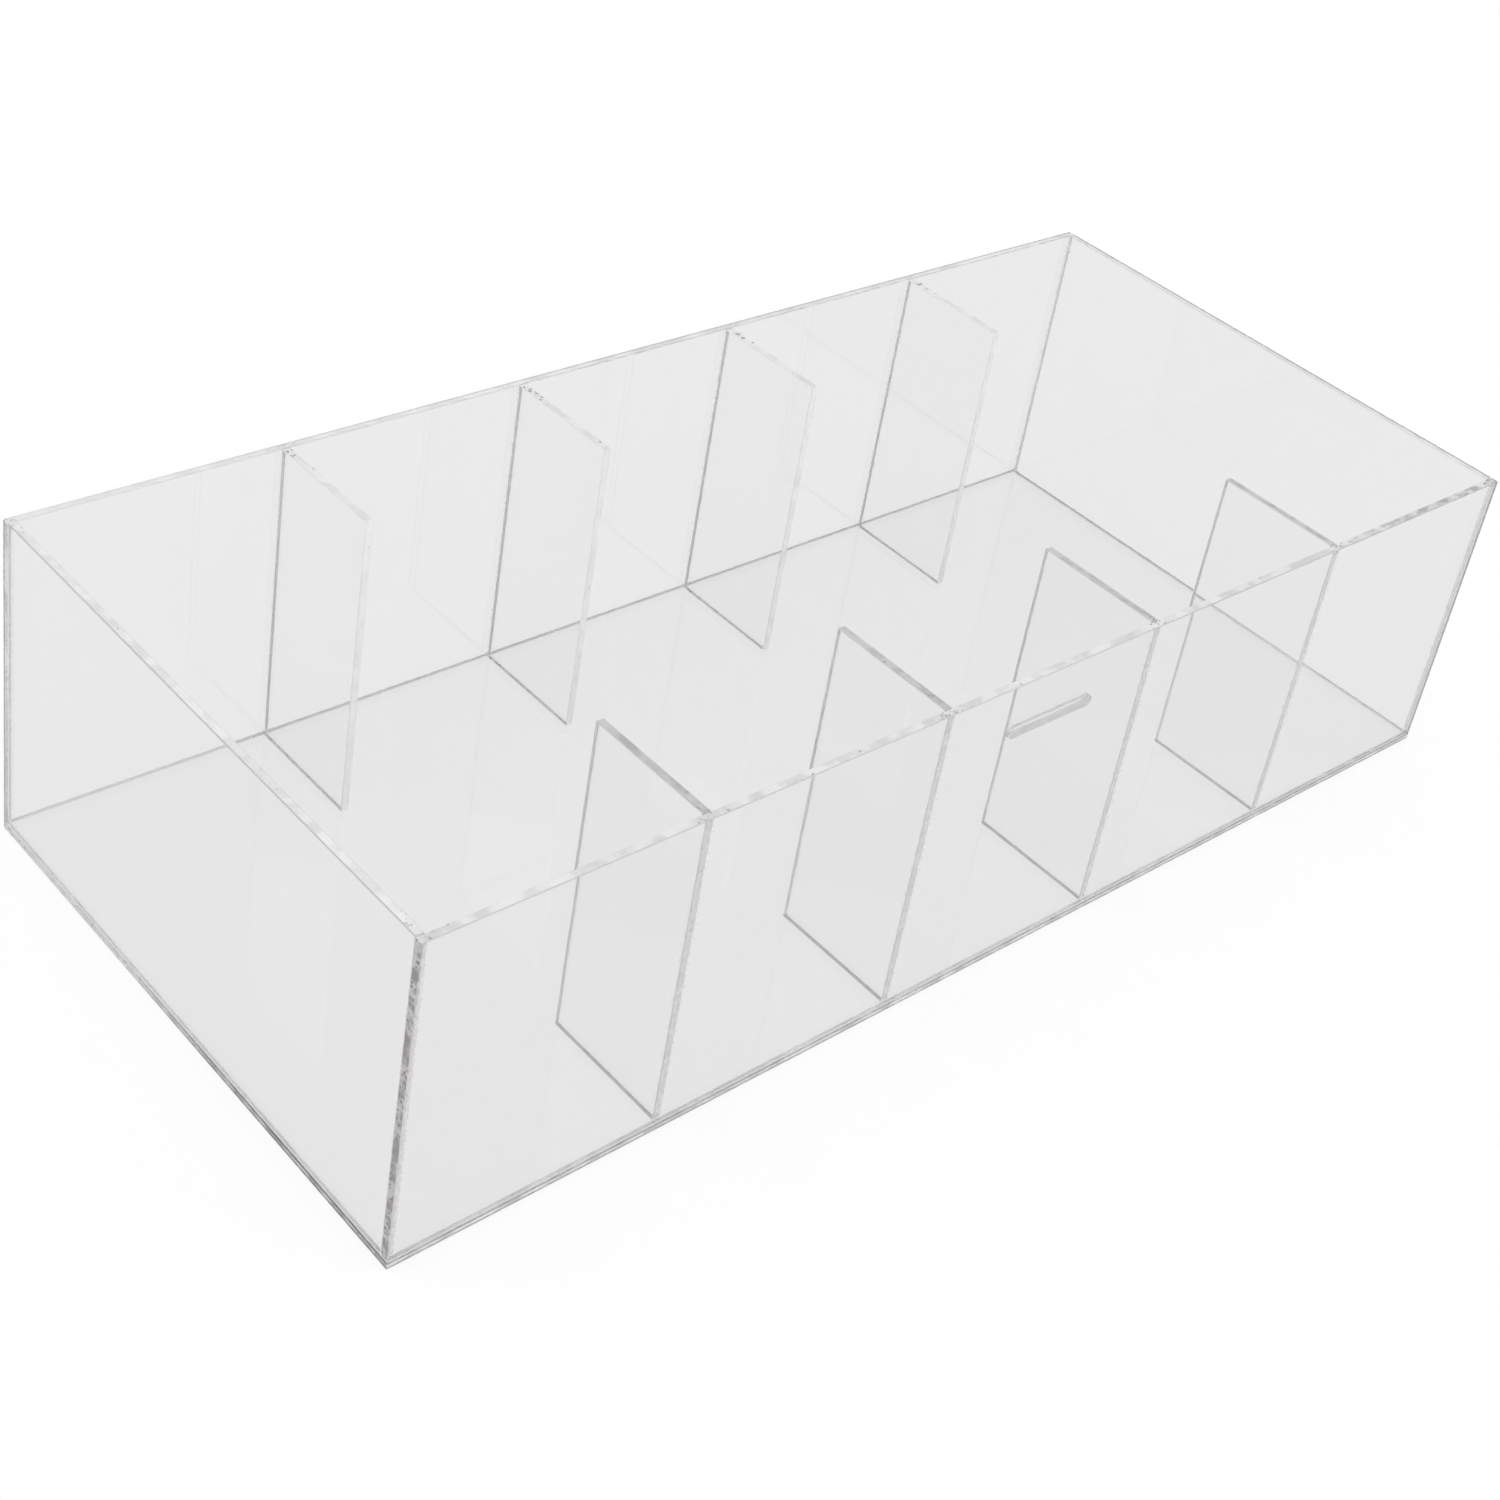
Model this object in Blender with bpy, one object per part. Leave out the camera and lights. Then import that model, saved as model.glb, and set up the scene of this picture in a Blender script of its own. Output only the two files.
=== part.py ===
"""Cash tray in clear acrylic: an open box of cemented sheets with five side-by-side note compartments.

A full-size floor panel carries a front wall, a rear wall and two end walls. The front and rear walls run the
whole length and show their cut ends at the left and the right, and the end walls fit between them. Short
dividers stand in pairs, one reaching in from the rear wall and one from the front wall, and leave a wide gap
between their free ends for the fingers. A slot with round ends is routed through the front wall below its
rim.

Frame: origin at the centre of the floor panel's underside, +X along the tray's length, +Y to the rear and
+Z up. All lengths are in metres.
"""

import math

import bmesh
import bpy
from mathutils import Vector

# Driving sizes of the tray
TRAY_LENGTH = 0.381
TRAY_DEPTH = 0.175
TRAY_HEIGHT = 0.095
SHEET_THICKNESS = 0.0024

# Cemented joints, and the small 45 degree cut that takes the sharpness off an exposed edge
CEMENT_GAP = 0.0003
EDGE_BREAK = 0.00025

# Compartments and the dividers between them, each reach measured from the wall's inner face
COMPARTMENT_COUNT = 5
REAR_DIVIDER_REACH = 0.0385
FRONT_DIVIDER_REACH = 0.0385

# Routed slot in the front wall: its drop runs from the rim to its centre line
SLOT_LENGTH = 0.030
SLOT_HEIGHT = 0.0030
SLOT_DROP = 0.0150
SLOT_END_STEPS = 14
CUTTER_OVERRUN = 0.001

# Finish of the acrylic sheet, with a faint cool grey that deepens from the walls to the floor
WALL_COLOUR = (0.925, 0.930, 0.930)
DIVIDER_COLOUR = (0.930, 0.935, 0.935)
FLOOR_COLOUR = (0.905, 0.910, 0.912)
SHEET_ROUGHNESS = 0.03
ACRYLIC_IOR = 1.49

# Places worked out from the driving sizes
END_X = TRAY_LENGTH / 2
FRONT_Y = -TRAY_DEPTH / 2
REAR_Y = TRAY_DEPTH / 2
INNER_FRONT_Y = FRONT_Y + SHEET_THICKNESS
INNER_REAR_Y = REAR_Y - SHEET_THICKNESS
STANDING_Z = SHEET_THICKNESS + CEMENT_GAP
DIVIDER_COUNT = COMPARTMENT_COUNT - 1
WALL_SHEETS_ACROSS = DIVIDER_COUNT + 2
COMPARTMENT_WIDTH = (TRAY_LENGTH - WALL_SHEETS_ACROSS * SHEET_THICKNESS) / COMPARTMENT_COUNT

# The six sides of an upright or level sheet, each with its outward direction
SIDES = {
    "left": Vector((-1, 0, 0)),
    "right": Vector((1, 0, 0)),
    "front": Vector((0, -1, 0)),
    "rear": Vector((0, 1, 0)),
    "bottom": Vector((0, 0, -1)),
    "top": Vector((0, 0, 1)),
}


def clear_scene():
    """Removes every object that the open scene holds."""
    for item in list(bpy.data.objects):
        bpy.data.objects.remove(item, do_unlink=True)


def acrylic(name, colour):
    """A clear acrylic material with the given tint."""
    material = bpy.data.materials.new(name)
    material.use_nodes = True
    shader = material.node_tree.nodes["Principled BSDF"]
    shader.inputs["Base Color"].default_value = (*colour, 1)
    shader.inputs["Roughness"].default_value = SHEET_ROUGHNESS
    shader.inputs["Metallic"].default_value = 0
    shader.inputs["IOR"].default_value = ACRYLIC_IOR
    shader.inputs["Transmission Weight"].default_value = 1
    material.diffuse_color = (*colour, 1)
    return material


def side_of(face):
    """The name of the side that a face of a plain sheet looks to."""
    return max(SIDES, key=lambda side: face.normal.dot(SIDES[side]))


def meeting_sides(edge):
    """The names of the two sides that meet at an edge of a plain sheet."""
    return frozenset(side_of(face) for face in edge.link_faces)


def add_sheet(name, low, high, exposed, colour, tray):
    """Adds one flat sheet between two opposite corners, and breaks its exposed edges.

    exposed lists the edges that a finger can reach, each as the two sides that meet there. An edge inside a
    cemented joint stays square, as it comes off the saw. The sheet's origin is the middle of its underside.
    """
    size = high - low
    shape = bmesh.new()
    bmesh.ops.create_cube(shape, size=1)
    bmesh.ops.translate(shape, vec=(0, 0, 1 / 2), verts=shape.verts)
    bmesh.ops.scale(shape, vec=size, verts=shape.verts)
    shape.normal_update()
    wanted = {frozenset(pair) for pair in exposed}
    broken = [edge for edge in shape.edges if meeting_sides(edge) in wanted]
    bmesh.ops.bevel(
        shape,
        geom=broken,
        offset=EDGE_BREAK,
        offset_type="OFFSET",
        segments=1,
        affect="EDGES",
        clamp_overlap=True,
    )
    mesh = bpy.data.meshes.new(name)
    shape.to_mesh(mesh)
    shape.free()
    sheet = bpy.data.objects.new(name, mesh)
    sheet.location = ((low.x + high.x) / 2, (low.y + high.y) / 2, low.z)
    sheet.parent = tray
    mesh.materials.append(acrylic(name + "_acrylic", colour))
    bpy.context.scene.collection.objects.link(sheet)
    return sheet


def add_floor(tray):
    """The floor panel, as long and as deep as the tray, with its four cut edges in view."""
    low = Vector((-END_X, FRONT_Y, 0))
    high = Vector((END_X, REAR_Y, SHEET_THICKNESS))
    upright = [(across, along) for across in ("left", "right") for along in ("front", "rear")]
    lower = [("bottom", side) for side in ("left", "right", "front", "rear")]
    add_sheet("floor_panel", low, high, upright + lower, FLOOR_COLOUR, tray)


def add_long_walls(tray):
    """The front and rear walls, from the tray's left face to its right face. Returns the front wall."""
    upper = [("top", side) for side in ("left", "right", "front", "rear")]
    walls = []
    for name, outer, low_y, high_y in (
        ("front_wall", "front", FRONT_Y, INNER_FRONT_Y),
        ("rear_wall", "rear", INNER_REAR_Y, REAR_Y),
    ):
        low = Vector((-END_X, low_y, STANDING_Z))
        high = Vector((END_X, high_y, TRAY_HEIGHT))
        corners = [("left", outer), ("right", outer)]
        walls.append(add_sheet(name, low, high, upper + corners, WALL_COLOUR, tray))
    return walls[0]


def add_end_walls(tray):
    """The left and right end walls, cemented between the front and rear walls."""
    low_y = INNER_FRONT_Y + CEMENT_GAP
    high_y = INNER_REAR_Y - CEMENT_GAP
    rim = [("top", "left"), ("top", "right")]
    for name, low_x, high_x in (
        ("left_end_wall", -END_X, -END_X + SHEET_THICKNESS),
        ("right_end_wall", END_X - SHEET_THICKNESS, END_X),
    ):
        low = Vector((low_x, low_y, STANDING_Z))
        high = Vector((high_x, high_y, TRAY_HEIGHT))
        add_sheet(name, low, high, rim, WALL_COLOUR, tray)


def add_dividers(tray):
    """The pairs of short dividers, numbered from the left, which part the compartments."""
    rear_y = INNER_REAR_Y - CEMENT_GAP
    front_y = INNER_FRONT_Y + CEMENT_GAP
    for row, free, low_y, high_y in (
        ("rear", "front", INNER_REAR_Y - REAR_DIVIDER_REACH, rear_y),
        ("front", "rear", front_y, INNER_FRONT_Y + FRONT_DIVIDER_REACH),
    ):
        exposed = [("top", "left"), ("top", "right"), ("top", free), (free, "left"), (free, "right")]
        for number in range(1, DIVIDER_COUNT + 1):
            left_x = -END_X + number * (COMPARTMENT_WIDTH + SHEET_THICKNESS)
            low = Vector((left_x, low_y, STANDING_Z))
            high = Vector((left_x + SHEET_THICKNESS, high_y, TRAY_HEIGHT))
            add_sheet(f"{row}_divider_{number}", low, high, exposed, DIVIDER_COLOUR, tray)


def slot_ring(shape, y, radius):
    """Adds an upright ring with round ends in the plane at y, and returns its edges."""
    half_straight = (SLOT_LENGTH - SLOT_HEIGHT) / 2
    points = []
    for centre_x, start in ((half_straight, -math.pi / 2), (-half_straight, math.pi / 2)):
        for step in range(SLOT_END_STEPS + 1):
            angle = start + math.pi * step / SLOT_END_STEPS
            x = centre_x + radius * math.cos(angle)
            z = radius * math.sin(angle)
            points.append(shape.verts.new((x, y, z)))
    return [shape.edges.new((points[i - 1], points[i])) for i in range(len(points))]


def rout_slot(wall, tray):
    """Cuts the slot through the wall. The cutter flares at both faces and so breaks the slot's edges."""
    slot_radius = SLOT_HEIGHT / 2
    flared_radius = slot_radius + EDGE_BREAK + CUTTER_OVERRUN
    outside = SHEET_THICKNESS / 2 + CUTTER_OVERRUN
    inside = SHEET_THICKNESS / 2 - EDGE_BREAK
    sections = [
        (-outside, flared_radius),
        (-inside, slot_radius),
        (inside, slot_radius),
        (outside, flared_radius),
    ]
    shape = bmesh.new()
    rings = [slot_ring(shape, y, radius) for y, radius in sections]
    for first, second in zip(rings, rings[1:]):
        bmesh.ops.bridge_loops(shape, edges=first + second)
    for ring in (rings[0], rings[-1]):
        bmesh.ops.contextual_create(shape, geom=ring)
    bmesh.ops.recalc_face_normals(shape, faces=shape.faces)
    mesh = bpy.data.meshes.new("slot_cutter")
    shape.to_mesh(mesh)
    shape.free()
    cutter = bpy.data.objects.new("slot_cutter", mesh)
    cutter.location = (0, wall.location.y, TRAY_HEIGHT - SLOT_DROP)
    cutter.parent = tray
    cutter.hide_render = True
    cutter.display_type = "WIRE"
    bpy.context.scene.collection.objects.link(cutter)
    slot = wall.modifiers.new("routed_slot", "BOOLEAN")
    slot.operation = "DIFFERENCE"
    slot.solver = "EXACT"
    slot.object = cutter


def build_tray():
    """Builds the whole tray under one empty that stands at the frame's origin."""
    clear_scene()
    tray = bpy.data.objects.new("cash_tray", None)
    bpy.context.scene.collection.objects.link(tray)
    add_floor(tray)
    front_wall = add_long_walls(tray)
    rout_slot(front_wall, tray)
    add_end_walls(tray)
    add_dividers(tray)


build_tray()
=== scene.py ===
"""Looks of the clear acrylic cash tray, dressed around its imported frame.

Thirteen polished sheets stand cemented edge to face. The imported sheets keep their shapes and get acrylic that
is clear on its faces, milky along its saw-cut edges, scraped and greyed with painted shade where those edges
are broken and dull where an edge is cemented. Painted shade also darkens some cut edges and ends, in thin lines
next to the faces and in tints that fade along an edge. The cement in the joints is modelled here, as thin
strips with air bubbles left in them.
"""

import logging
import math
import random
from dataclasses import dataclass, field, replace
from enum import Enum, IntEnum
from typing import Callable, Iterable

import bmesh
import bpy
from mathutils import Matrix, Quaternion, Vector


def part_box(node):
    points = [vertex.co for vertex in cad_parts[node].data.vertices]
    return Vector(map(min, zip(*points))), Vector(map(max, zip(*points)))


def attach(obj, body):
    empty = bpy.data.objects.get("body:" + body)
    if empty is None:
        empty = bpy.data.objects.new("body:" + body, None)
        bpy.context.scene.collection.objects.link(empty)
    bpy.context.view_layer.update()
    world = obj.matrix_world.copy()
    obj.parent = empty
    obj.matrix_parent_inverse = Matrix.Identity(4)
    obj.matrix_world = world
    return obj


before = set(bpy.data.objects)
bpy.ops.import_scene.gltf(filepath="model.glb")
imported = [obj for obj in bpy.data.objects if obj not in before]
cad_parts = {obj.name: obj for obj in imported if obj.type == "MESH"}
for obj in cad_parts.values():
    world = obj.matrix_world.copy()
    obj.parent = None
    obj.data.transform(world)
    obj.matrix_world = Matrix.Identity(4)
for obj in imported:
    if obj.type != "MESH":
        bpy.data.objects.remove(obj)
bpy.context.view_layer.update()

LOG = logging.getLogger("cash_tray")
ROOT_BODY = "root"
PHOTO_SIDE_PX = 1500
ACRYLIC_IOR = 1.49
DIVIDERS_A_ROW = 4
FLOOR_PANEL = "floor_panel"
MICROMETRES_A_METRE = 1e6

# The Mix node's sockets for colours, which share their names with those for numbers and vectors
MIX_UNDER, MIX_OVER, MIX_RESULT = 6, 7, 2

# A dot's least radius, and how far the largest goes beyond it, as shares of the mean radius
DOT_LEAST, DOT_SPAN = 0.4, 1.2

# A face looks along an axis where more than SQUARE_ON of its direction lies on it. It is a cut edge of its
# sheet where less than EDGE_ON lies on the axis of the sheet's thickness, and a broken one in between.
SQUARE_ON = 0.9
EDGE_ON = 0.35

Colour = tuple[float, float, float]
Span = tuple[float, float]

WHITE: Colour = (1.0, 1.0, 1.0)
CLEAR: Colour = (0.97, 0.97, 0.97)


class Axis(IntEnum):
    """The three axes of the frame, by their number."""

    X = 0
    Y = 1
    Z = 2


class Side(Enum):
    """The outward directions to which a sheet is cemented or has a rim darkened by painted shade."""

    RIGHT = (1, 0, 0)
    FRONT = (0, -1, 0)
    REAR = (0, 1, 0)
    BOTTOM = (0, 0, -1)

    @property
    def axis(self) -> Axis:
        """The axis that this direction lies along."""
        return next(axis for axis in Axis if self.value[axis])

    @property
    def sign(self) -> int:
        """Plus or minus one, as the direction runs along its axis."""
        return self.value[self.axis]


class Channel:
    """A number that varies over a surface, on which plain arithmetic adds Math nodes."""

    def __init__(self, tree: "ShaderTree", socket: bpy.types.NodeSocket) -> None:
        """Wraps one output socket of a tree."""
        self.tree = tree
        self.socket = socket

    def __add__(self, other: "Number") -> "Channel":
        """The sum."""
        return self.tree.math("ADD", self, other)

    def __radd__(self, other: "Number") -> "Channel":
        """The sum, where the plain number stands first."""
        return self.tree.math("ADD", other, self)

    def __sub__(self, other: "Number") -> "Channel":
        """The difference."""
        return self.tree.math("SUBTRACT", self, other)

    def __rsub__(self, other: "Number") -> "Channel":
        """The difference, where the plain number stands first."""
        return self.tree.math("SUBTRACT", other, self)

    def __mul__(self, other: "Number") -> "Channel":
        """The product."""
        return self.tree.math("MULTIPLY", self, other)

    def __rmul__(self, other: "Number") -> "Channel":
        """The product, where the plain number stands first."""
        return self.tree.math("MULTIPLY", other, self)

    def __gt__(self, other: "Number") -> "Channel":
        """One where this is the larger, and zero elsewhere."""
        return self.tree.math("GREATER_THAN", self, other)

    def __lt__(self, other: "Number") -> "Channel":
        """One where this is the smaller, and zero elsewhere."""
        return self.tree.math("LESS_THAN", self, other)

    def __abs__(self) -> "Channel":
        """The size without its sign."""
        return self.tree.math("ABSOLUTE", self)


Number = float | int | Channel


class ShaderTree:
    """The node tree of one material or world, with one method for all kinds of node."""

    def __init__(self, owner: bpy.types.Material | bpy.types.World) -> None:
        """Starts a tree with nothing but its output and its coordinates.

        Args:
            owner: The new material or world that the tree belongs to.
        """
        self.owner = owner
        owner.use_nodes = True
        owner.node_tree.nodes.clear()
        is_world = isinstance(owner, bpy.types.World)
        self.output = self.node("ShaderNodeOutputWorld" if is_world else "ShaderNodeOutputMaterial")
        self.coordinates = self.node("ShaderNodeTexCoord")

    @classmethod
    def of_material(cls, name: str) -> "ShaderTree":
        """The tree of a new material with the given name."""
        return cls(bpy.data.materials.new(name))

    def node(
        self,
        kind: str,
        settings: dict[str, object] | None = None,
        inputs: dict[str | int, object] | None = None,
    ) -> bpy.types.Node:
        """Adds one node.

        Args:
            kind: The node's type.
            settings: The node's own settings, which are set first. The key stops takes a ramp's stops.
            inputs: What each socket holds, or the socket or channel that feeds it.

        Returns:
            The new node.
        """
        made = self.owner.node_tree.nodes.new(kind)
        for key, value in (settings or {}).items():
            if key == "stops":
                self._set_stops(made.color_ramp, value)
            else:
                setattr(made, key, value)
        for key, value in (inputs or {}).items():
            self.feed(made.inputs[key], value)
        return made

    def feed(self, socket: bpy.types.NodeSocket, value: object) -> None:
        """Links a socket, or sets what it holds.

        Args:
            socket: The input socket.
            value: A channel, an output socket, a number or a tuple.
        """
        source = value.socket if isinstance(value, Channel) else value
        if isinstance(source, bpy.types.NodeSocket):
            self.owner.node_tree.links.new(source, socket)
        elif isinstance(source, tuple) and socket.type == "RGBA":
            socket.default_value = (*source, 1)
        else:
            socket.default_value = source

    @staticmethod
    def _set_stops(ramp: bpy.types.ColorRamp, stops: list[tuple[float, Colour]]) -> None:
        """Writes a ramp's stops.

        Args:
            ramp: The ramp.
            stops: The place and colour of each stop, from the left end to the right.
        """
        while len(ramp.elements) < len(stops):
            ramp.elements.new(1)
        for element, (place, colour) in zip(ramp.elements, stops):
            element.position = place
            element.color = (*colour, 1)

    def math(self, operation: str, *values: Number) -> Channel:
        """The result of one Math node."""
        made = self.node("ShaderNodeMath", {"operation": operation}, dict(enumerate(values)))
        return Channel(self, made.outputs[0])

    def spread(self, value: Channel, start: float, end: float, low: float = 0, high: float = 1) -> Channel:
        """Maps a span of a channel to another span, and holds it at the ends.

        Args:
            value: The channel.
            start: Where the span starts.
            end: Where the span ends.
            low: The result at the start.
            high: The result at the end.

        Returns:
            The mapped channel.
        """
        inputs = {"Value": value, "From Min": start, "From Max": end, "To Min": low, "To Max": high}
        return Channel(self, self.node("ShaderNodeMapRange", {}, inputs).outputs["Result"])

    def place(self) -> tuple[Channel, Channel, Channel]:
        """The place on the object, as three channels in metres."""
        return self.parts(self.coordinates.outputs["Object"])

    def facing(self) -> tuple[Channel, Channel, Channel]:
        """The direction that the surface faces on the object, as three channels."""
        return self.parts(self.coordinates.outputs["Normal"])

    def parts(self, vector: bpy.types.NodeSocket) -> tuple[Channel, Channel, Channel]:
        """The three parts of a vector."""
        parts = self.node("ShaderNodeSeparateXYZ", {}, {"Vector": vector})
        return tuple(Channel(self, parts.outputs[axis]) for axis in "XYZ")

    def stretched(self, scale: tuple[float, float, float]) -> bpy.types.NodeSocket:
        """Object coordinates with each axis scaled by itself."""
        inputs = {"Vector": self.coordinates.outputs["Object"], "Scale": scale}
        return self.node("ShaderNodeMapping", {}, inputs).outputs["Vector"]

    def noise(
        self,
        scale: float,
        detail: float,
        vector: bpy.types.NodeSocket | None = None,
        rough: float = 0.5,
    ) -> Channel:
        """A soft random pattern.

        Args:
            scale: Patches per metre, or per unit of the vector.
            detail: How many finer layers it has.
            vector: Where it is read, or nothing for Object coordinates.
            rough: How strong the finer layers are.

        Returns:
            A channel from 0 to 1, mostly near a half.
        """
        inputs = {
            "Vector": vector or self.coordinates.outputs["Object"],
            "Scale": scale,
            "Detail": detail,
            "Roughness": rough,
        }
        return Channel(self, self.node("ShaderNodeTexNoise", {}, inputs).outputs["Fac"])

    def dots(self, scale: float, size: float, share: float) -> Channel:
        """Scattered round dots.

        Args:
            scale: Cells per metre, each of which may hold one dot.
            size: A dot's mean radius, as a share of a cell.
            share: The share of the cells that hold one.

        Returns:
            One in a dot, and zero elsewhere.
        """
        inputs = {"Vector": self.coordinates.outputs["Object"], "Scale": scale}
        cells = self.node("ShaderNodeTexVoronoi", {"feature": "F1"}, inputs)
        draw, large, _ = self.parts(cells.outputs["Color"])
        radius = size * (DOT_LEAST + DOT_SPAN * large)
        return (Channel(self, cells.outputs["Distance"]) < radius) * (draw < share)

    def mixed_colour(self, mask: Number, under: object, over: object) -> bpy.types.NodeSocket:
        """A colour that goes from under to over as the mask goes from 0 to 1."""
        inputs = {0: mask, MIX_UNDER: under, MIX_OVER: over}
        return self.node("ShaderNodeMix", {"data_type": "RGBA"}, inputs).outputs[MIX_RESULT]

    def layered(
        self, mask: Number, under: bpy.types.NodeSocket, over: bpy.types.NodeSocket
    ) -> bpy.types.NodeSocket:
        """A shader that goes from under to over as the mask goes from 0 to 1."""
        return self.node("ShaderNodeMixShader", {}, {0: mask, 1: under, 2: over}).outputs[0]

    def bump(self, height: Channel, depth: float, strength: float = 1) -> bpy.types.NodeSocket:
        """The normal of a surface whose height is a channel times a depth in metres."""
        inputs = {"Height": height, "Distance": depth, "Strength": strength}
        return self.node("ShaderNodeBump", {}, inputs).outputs["Normal"]

    def glass(self, tint: Colour, roughness: Number, normal: bpy.types.NodeSocket) -> bpy.types.NodeSocket:
        """Clear acrylic.

        Args:
            tint: The colour that the light takes on in it.
            roughness: The roughness of its surface.
            normal: Its normal.

        Returns:
            The shader.
        """
        inputs = {
            "Base Color": tint,
            "Roughness": roughness,
            "IOR": ACRYLIC_IOR,
            "Transmission Weight": 1,
            "Normal": normal,
        }
        return self.node("ShaderNodeBsdfPrincipled", {}, inputs).outputs[0]

    def milk(
        self,
        colour: Colour | bpy.types.NodeSocket,
        glow: Colour,
        roughness: Number,
        through: float,
        normal: bpy.types.NodeSocket,
    ) -> bpy.types.NodeSocket:
        """A surface clouded by tiny cuts or bubbles, which scatters light both back and through.

        Args:
            colour: Its colour, which may vary.
            glow: The colour of the light that comes through it, the same all over.
            roughness: The roughness of its skin.
            through: The share of the light that it scatters through itself.
            normal: Its normal.

        Returns:
            The shader.
        """
        skin = {"Base Color": colour, "Roughness": roughness, "Normal": normal}
        front = self.node("ShaderNodeBsdfPrincipled", {}, skin).outputs[0]
        back = self.node("ShaderNodeBsdfTranslucent", {}, {"Color": glow}).outputs[0]
        return self.layered(through, front, back)

    def finish(self, surface: bpy.types.NodeSocket) -> bpy.types.Material | bpy.types.World:
        """Feeds the tree's output and returns the material or world."""
        self.feed(self.output.inputs["Surface"], surface)
        return self.owner


@dataclass(frozen=True)
class PolishedFace:
    """The cast and polished face of a clear sheet, with a faint ripple and a trace of handling."""

    tint: Colour = (0.975, 0.975, 0.976)
    ripples_per_metre: float = 30
    ripple_depth: float = 0.00003
    smudges_per_metre: float = 16
    smudge_span: Span = (0.5, 0.75)
    smudge_roughness: float = 0.05
    haze_tint: Colour = (0.97, 0.96, 0.965)
    haze_per_metre: float = 800
    haze_weight: float = 0.4
    haze_span: Span = (0.8, 0.95)
    haze_share: float = 0.2
    haze_roughness: float = 0.4
    haze_through: float = 0.3

    def shader(self, tree: ShaderTree, haze: Number) -> bpy.types.NodeSocket:
        """The shader of a polished face.

        Args:
            tree: The material's tree.
            haze: Where cement has crept over the face, as a share.

        Returns:
            The shader.
        """
        normal = tree.bump(tree.noise(self.ripples_per_metre, detail=2), self.ripple_depth)
        smudges = tree.noise(self.smudges_per_metre, detail=5)
        smudge = tree.spread(smudges, *self.smudge_span, high=self.smudge_roughness)
        clear = tree.glass(self.tint, smudge, normal)
        creeping = tree.noise(self.haze_per_metre, detail=4) + self.haze_weight * haze
        crept = tree.spread(creeping, *self.haze_span, high=self.haze_share)
        cloud = tree.milk(self.haze_tint, self.haze_tint, self.haze_roughness, self.haze_through, normal)
        return tree.layered(crept, clear, cloud)


@dataclass(frozen=True)
class PaintedShadeFade:
    """Painted shade along an edge: a change of tint from nothing at one place to nearly full at another."""

    axis: Axis
    start: float
    end: float
    tint: Colour
    mottled: bool = False
    wander_reach: float = 0.04
    most: float = 0.85

    def share(self, tree: ShaderTree, wander: Channel) -> Channel:
        """How far the change has gone at a place.

        Args:
            tree: The material's tree.
            wander: A soft random pattern, by which its start and end wander.

        Returns:
            The channel.
        """
        along = tree.place()[self.axis] + self.wander_reach * wander - self.wander_reach / 2
        return tree.spread(along, self.start, self.end, high=self.most)


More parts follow.
